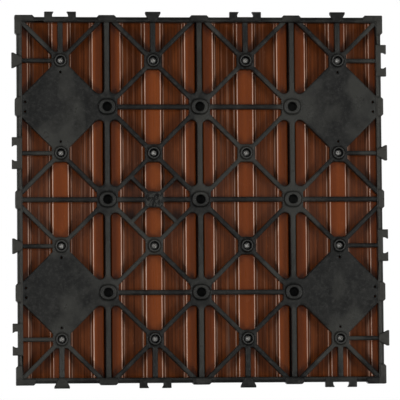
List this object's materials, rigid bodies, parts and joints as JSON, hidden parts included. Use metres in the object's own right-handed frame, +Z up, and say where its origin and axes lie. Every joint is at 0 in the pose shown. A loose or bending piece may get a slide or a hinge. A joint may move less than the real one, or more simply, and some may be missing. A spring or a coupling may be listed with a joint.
{
  "type": "interlocking deck tile",
  "caption": "Square interlocking deck tile: brown composite slats screwed onto a black moulded base grid with dovetail connectors along every edge.",
  "frame": {"origin": "on the ground under the middle of the tile", "axes": "+X across the slats, +Y along the slats, +Z up to the walking face"},
  "size_m": [0.304, 0.304, 0.022],
  "materials": {
    "grid_plastic": "black injection-moulded polypropylene, fine satin texture",
    "slat_composite": "reddish brown wood-plastic composite, extruded and lightly brushed along its length",
    "screw_steel": "zinc-plated pan-head screws with a cross recess"
  },
  "bodies": {
    "root": {"base_grid": "grid_plastic", "slat_1": "slat_composite", "slat_2": "slat_composite", "slat_3": "slat_composite", "slat_4": "slat_composite", "deck_screws": "screw_steel"}
  },
  "joints": []
}
